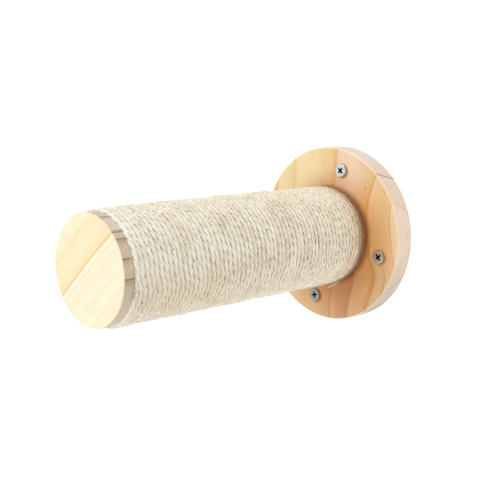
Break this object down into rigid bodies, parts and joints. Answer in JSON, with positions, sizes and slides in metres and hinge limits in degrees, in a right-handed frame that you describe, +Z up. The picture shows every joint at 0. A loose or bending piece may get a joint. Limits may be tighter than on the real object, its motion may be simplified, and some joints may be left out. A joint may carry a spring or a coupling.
{
  "type": "cat wall step",
  "caption": "Rope-wound wooden peg that stands out from a round wooden disc, screwed to a wall as a step for cats.",
  "frame": {"origin": "centre of the wall disc's back face, where it lies on the wall", "axes": "+Y into the wall, the peg points along -Y into the room, +Z up, +X to the right for someone who faces the wall"},
  "size_m": [0.12, 0.2308, 0.12],
  "materials": {
    "disc_wood": "satin",
    "peg_wood": "satin",
    "sisal": "matte",
    "wall_screw_steel": "satin",
    "peg_screw_steel": "satin"
  },
  "bodies": {
    "root": {"wall_disc": "disc_wood", "peg": "peg_wood", "sisal_rope": "sisal", "wall_screw_1": "wall_screw_steel", "wall_screw_2": "wall_screw_steel", "wall_screw_3": "wall_screw_steel", "wall_screw_4": "wall_screw_steel", "peg_screw_1": "peg_screw_steel", "peg_screw_2": "peg_screw_steel", "peg_screw_3": "peg_screw_steel"}
  },
  "joints": []
}
